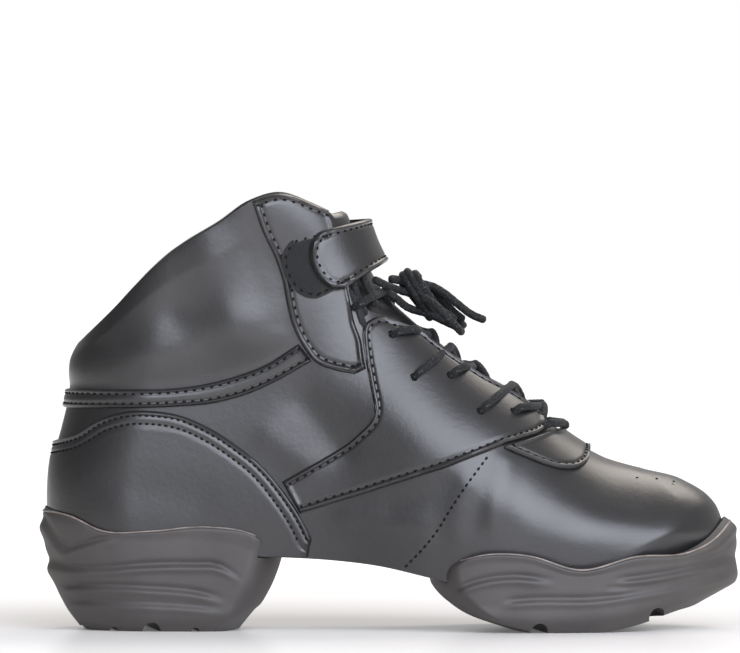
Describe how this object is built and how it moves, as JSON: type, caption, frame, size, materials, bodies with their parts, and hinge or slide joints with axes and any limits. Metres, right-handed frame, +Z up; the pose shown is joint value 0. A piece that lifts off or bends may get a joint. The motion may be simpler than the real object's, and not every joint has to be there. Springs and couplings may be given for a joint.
{
  "type": "dance sneaker",
  "caption": "High-top split-sole dance sneaker for the right foot, with padded collar, laced instep and a fastening ankle strap.",
  "frame": {"origin": "on the floor, under the middle of the shoe", "axes": "+X towards the toe, +Z up, -Y the outer side, which faces the viewer of the picture"},
  "size_m": [0.2746, 0.1022, 0.1724],
  "materials": {
    "black_leather": "satin",
    "lining_cloth": "matte",
    "dark_rubber": "matte",
    "black_lace": "matte",
    "loop_cloth": "matte"
  },
  "bodies": {
    "root": {"upper": "black_leather", "lasting_board": "black_leather", "insole": "lining_cloth", "sole_forefoot": "dark_rubber", "sole_heel": "dark_rubber", "heel_counter": "black_leather", "collar_band": "black_leather", "lacing_panel_lateral": "black_leather", "lacing_panel_medial": "black_leather", "ankle_panel_lateral": "black_leather", "ankle_panel_medial": "black_leather", "apron": "black_leather", "tongue": "black_leather", "ankle_strap": "black_leather", "fastening_patch": "loop_cloth", "lace_crossing_1": "black_lace", "lace_crossing_2": "black_lace", "lace_crossing_3": "black_lace", "lace_crossing_4": "black_lace", "lace_crossing_5": "black_lace", "lace_crossing_6": "black_lace", "lace_toe_bar": "black_lace", "bow_knot": "black_lace", "bow_feed_lateral": "black_lace", "bow_feed_medial": "black_lace", "bow_loop_lateral": "black_lace", "bow_loop_medial": "black_lace", "lace_end_lateral": "black_lace", "lace_end_medial": "black_lace"}
  },
  "joints": []
}
